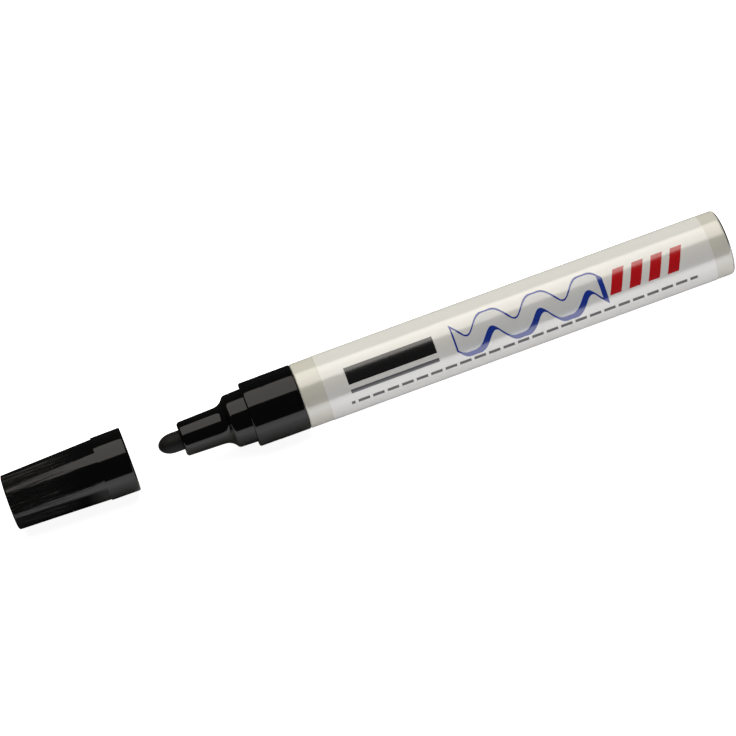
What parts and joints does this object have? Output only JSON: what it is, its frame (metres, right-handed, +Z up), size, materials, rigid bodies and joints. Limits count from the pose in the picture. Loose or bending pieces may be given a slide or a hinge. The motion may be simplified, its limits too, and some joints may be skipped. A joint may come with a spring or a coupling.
{
  "type": "paint marker",
  "caption": "Round valve-action paint marker with a felt bullet nib, a sprung valve, a mixing ball in its aluminium barrel and a fluted push-on cap, shown pulled off.",
  "frame": {"origin": "on the floor, under the middle of the marker and its pulled-off cap together", "axes": "+X along the marker from its nib to its closed rear end, +Z up from the floor that it lies on"},
  "size_m": [0.1634, 0.0146, 0.0146],
  "materials": {
    "barrel_lacquer": "ivory lacquer over drawn aluminium",
    "label_film": "glossy printed film",
    "black_gloss": "glossy black moulding",
    "nib_felt": "paint-soaked compressed felt",
    "valve_plastic": "natural moulding",
    "seal_rubber": "moulded rubber",
    "spring_steel": "drawn stainless wire",
    "ball_steel": "polished steel ball",
    "liner_plastic": "satin black moulding"
  },
  "bodies": {
    "marker": {"barrel": "barrel_lacquer", "label_film": "label_film", "front_section": "black_gloss", "barrel_gasket": "seal_rubber", "valve_body": "valve_plastic", "spring_cage": "valve_plastic", "valve_spring": "spring_steel"},
    "cap": {"cap_shell": "black_gloss", "inner_cap": "liner_plastic"},
    "nib": {"nib": "nib_felt"},
    "valve": {"valve_rod": "valve_plastic", "valve_seal": "seal_rubber"},
    "ball": {"mixing_ball": "ball_steel"}
  },
  "joints": [
    {"name": "cap_slide", "type": "slide", "parent": "marker", "child": "cap", "axis": [1, 0, 0], "range_m": [0, 0.0269]},
    {"name": "nib_press", "type": "slide", "parent": "marker", "child": "nib", "axis": [1, 0, 0], "range_m": [0, 0.002], "stiffness_N_per_m": 400, "springref_m": -0.002},
    {"name": "valve_lift", "type": "slide", "parent": "marker", "child": "valve", "axis": [1, 0, 0], "range_m": [0, 0.002], "deforming": ["valve_spring"]},
    {"name": "ball_roll", "type": "slide", "parent": "marker", "child": "ball", "axis": [1, 0, 0], "range_m": [-0.0731, 0.0029]}
  ],
  "couplings": [
    {"joint": "valve_lift", "follows": "nib_press", "ratio": 1}
  ]
}
